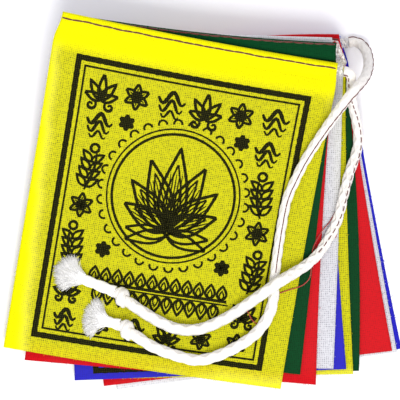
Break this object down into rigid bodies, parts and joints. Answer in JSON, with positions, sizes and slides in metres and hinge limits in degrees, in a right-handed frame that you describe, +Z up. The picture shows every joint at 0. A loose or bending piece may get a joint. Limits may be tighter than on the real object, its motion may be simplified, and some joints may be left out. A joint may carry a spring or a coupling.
{
  "type": "prayer flag string",
  "caption": "String of printed cotton prayer flags in blue, white, red, green and yellow, folded back and forth on a soft cotton cord whose knotted, frayed ends lie on top.",
  "frame": {"origin": "on the surface that the flags lie on, at the mount rest under the bottom flag", "axes": "+Z up, which is the shortest extent; +Y from the feet of the flags to their heads; +X to the side where the cord's free ends come out"},
  "size_m": [0.1817, 0.1719, 0.0404],
  "materials": {
    "yellow_cotton": "thin dyed and printed cotton muslin",
    "green_cotton": "thin dyed and printed cotton muslin",
    "red_cotton": "thin dyed and printed cotton muslin",
    "white_cotton": "thin printed cotton muslin",
    "blue_cotton": "thin dyed and printed cotton muslin",
    "cotton_cord": "soft braided cotton cord"
  },
  "bodies": {
    "root": {"flag_01_yellow": "yellow_cotton", "flag_02_green": "green_cotton", "flag_03_red": "red_cotton", "flag_04_white": "white_cotton", "flag_05_blue": "blue_cotton", "flag_06_yellow": "yellow_cotton", "flag_07_green": "green_cotton", "flag_08_red": "red_cotton", "flag_09_white": "white_cotton", "flag_10_blue": "blue_cotton", "header_cord": "cotton_cord", "cord_a": "cotton_cord", "knot_a": "cotton_cord", "tuft_a": "cotton_cord", "cord_b": "cotton_cord", "knot_b": "cotton_cord", "tuft_b": "cotton_cord"}
  },
  "joints": []
}
